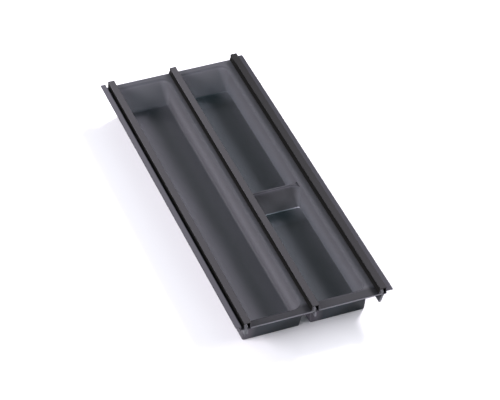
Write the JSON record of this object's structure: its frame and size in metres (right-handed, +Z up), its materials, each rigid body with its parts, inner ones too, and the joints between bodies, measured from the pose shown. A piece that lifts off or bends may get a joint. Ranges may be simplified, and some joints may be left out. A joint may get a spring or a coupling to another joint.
{
  "type": "cutlery tray",
  "caption": "Modular drawer insert for cutlery: long moulded troughs side by side, one with a low cross saddle, joined along their edges by slide-on cap rails.",
  "frame": {"origin": "middle of the overall outline, at the level of the drawer bottom under the troughs", "axes": "+Y along the rails toward the back, +Z up out of the troughs, +X to the right seen from the front"},
  "size_m": [0.1868, 0.473, 0.042],
  "materials": {
    "tray_plastic": "satin moulded",
    "rail_plastic": "satin extruded",
    "strip_plastic": "satin extruded"
  },
  "bodies": {
    "troughs": {"left_tray": "tray_plastic", "right_tray": "tray_plastic"},
    "left_rail": {"left_edge_rail": "rail_plastic", "left_keel_strip": "strip_plastic"},
    "middle_rail": {"centre_rail": "rail_plastic"},
    "right_rail": {"right_edge_rail": "rail_plastic", "right_keel_strip": "strip_plastic"}
  },
  "joints": [
    {"name": "left_rail_slide", "type": "slide", "parent": "troughs", "child": "left_rail", "axis": [0, -1, 0], "range_m": [0, 0.45]},
    {"name": "centre_rail_slide", "type": "slide", "parent": "troughs", "child": "middle_rail", "axis": [0, -1, 0], "range_m": [0, 0.45]},
    {"name": "right_rail_slide", "type": "slide", "parent": "troughs", "child": "right_rail", "axis": [0, -1, 0], "range_m": [0, 0.45]}
  ]
}
